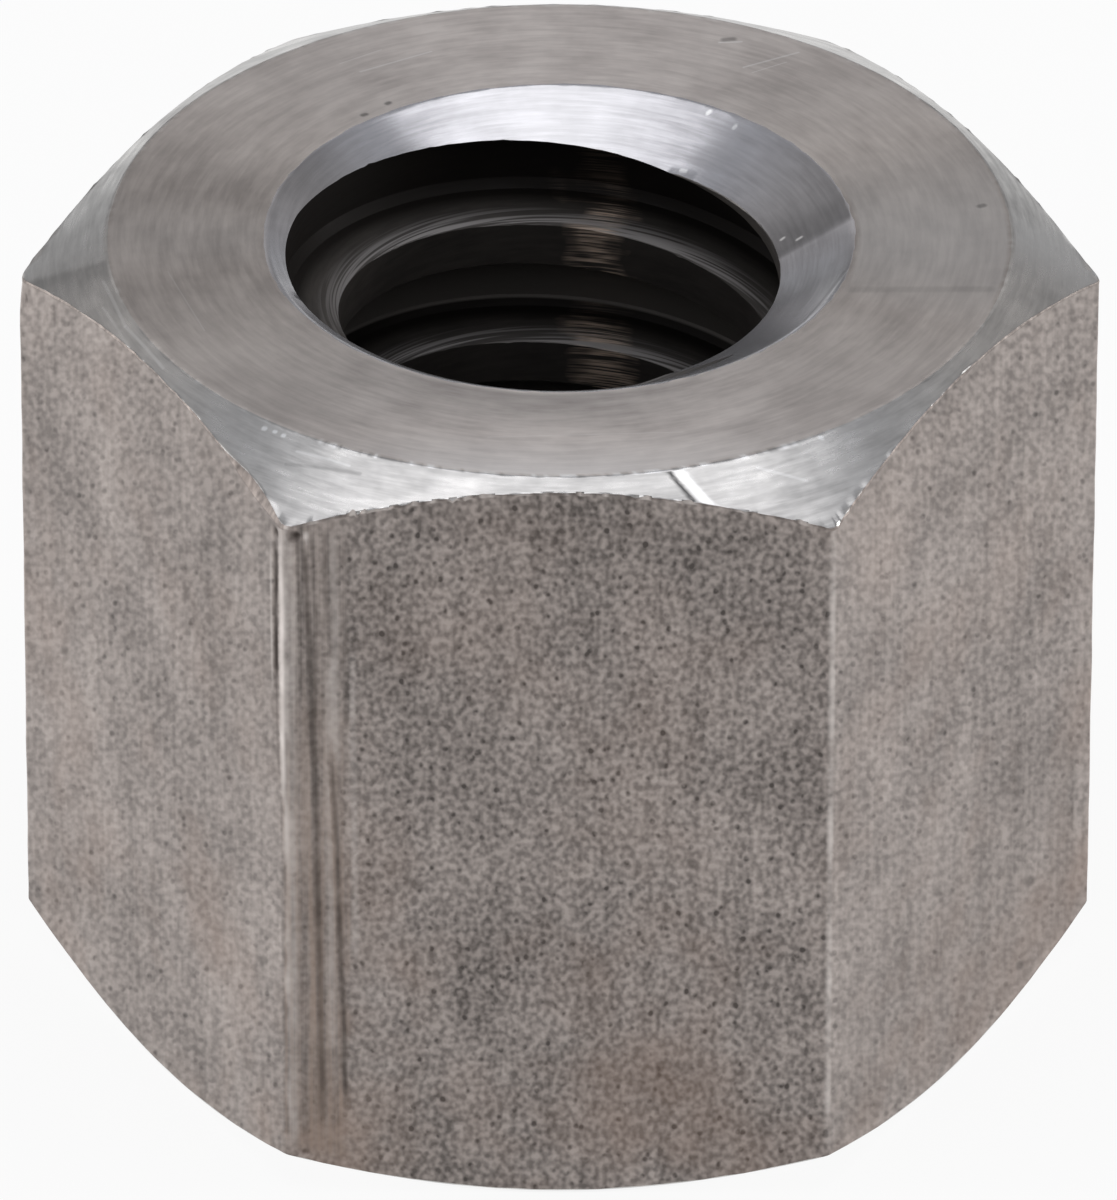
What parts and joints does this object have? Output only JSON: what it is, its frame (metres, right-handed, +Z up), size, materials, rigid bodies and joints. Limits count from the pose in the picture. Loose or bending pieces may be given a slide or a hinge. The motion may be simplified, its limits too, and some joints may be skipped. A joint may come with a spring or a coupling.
{
  "type": "trapezoidal thread hex nut",
  "caption": "Tall steel hex nut with a coarse right-hand trapezoidal thread, chamfered corners and a wide countersink at each end.",
  "frame": {"origin": "centre of the lower end face, on the thread axis", "axes": "+Z up along the thread axis, -Y square out of one flat, X through two opposite corners"},
  "size_m": [0.0312, 0.027, 0.024],
  "materials": {
    "steel": "bare steel: drawn matte flats, turned satin ends and chamfers"
  },
  "bodies": {
    "root": {"nut": "steel"}
  },
  "joints": []
}
